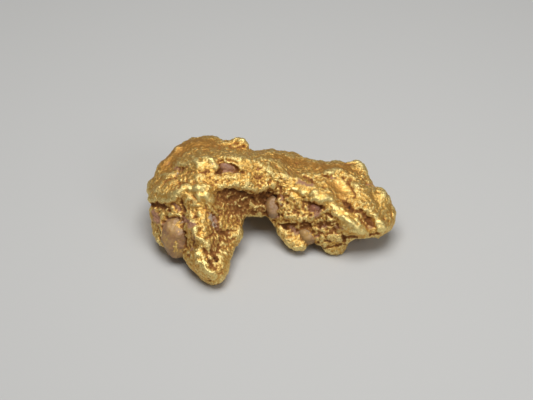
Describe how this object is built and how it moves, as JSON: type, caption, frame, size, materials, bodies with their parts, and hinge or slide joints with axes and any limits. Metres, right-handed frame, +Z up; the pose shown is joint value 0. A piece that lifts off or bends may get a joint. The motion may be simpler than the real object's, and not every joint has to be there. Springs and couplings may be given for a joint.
{
  "type": "gold nugget",
  "caption": "Hook-shaped native gold nugget with a rough pitted skin, a leg, an arm over an open bay and quartz grains set in it.",
  "frame": {"origin": "on the ground under the middle of the nugget's box", "axes": "+X along the nugget from the left lobe to the end of the arm, +Z up, the leg and the open bay towards -Y"},
  "size_m": [0.02, 0.0138, 0.0064],
  "materials": {
    "gold": "rough native gold, satin, with brown iron stain in the hollows",
    "quartz": "stained milky quartz, slightly glossy"
  },
  "bodies": {
    "root": {"gold_nugget": "gold", "quartz_pebble": "quartz", "quartz_grain_arm": "quartz", "quartz_grain_crown": "quartz", "quartz_grain_bay": "quartz", "quartz_grain_pink": "quartz"}
  },
  "joints": []
}
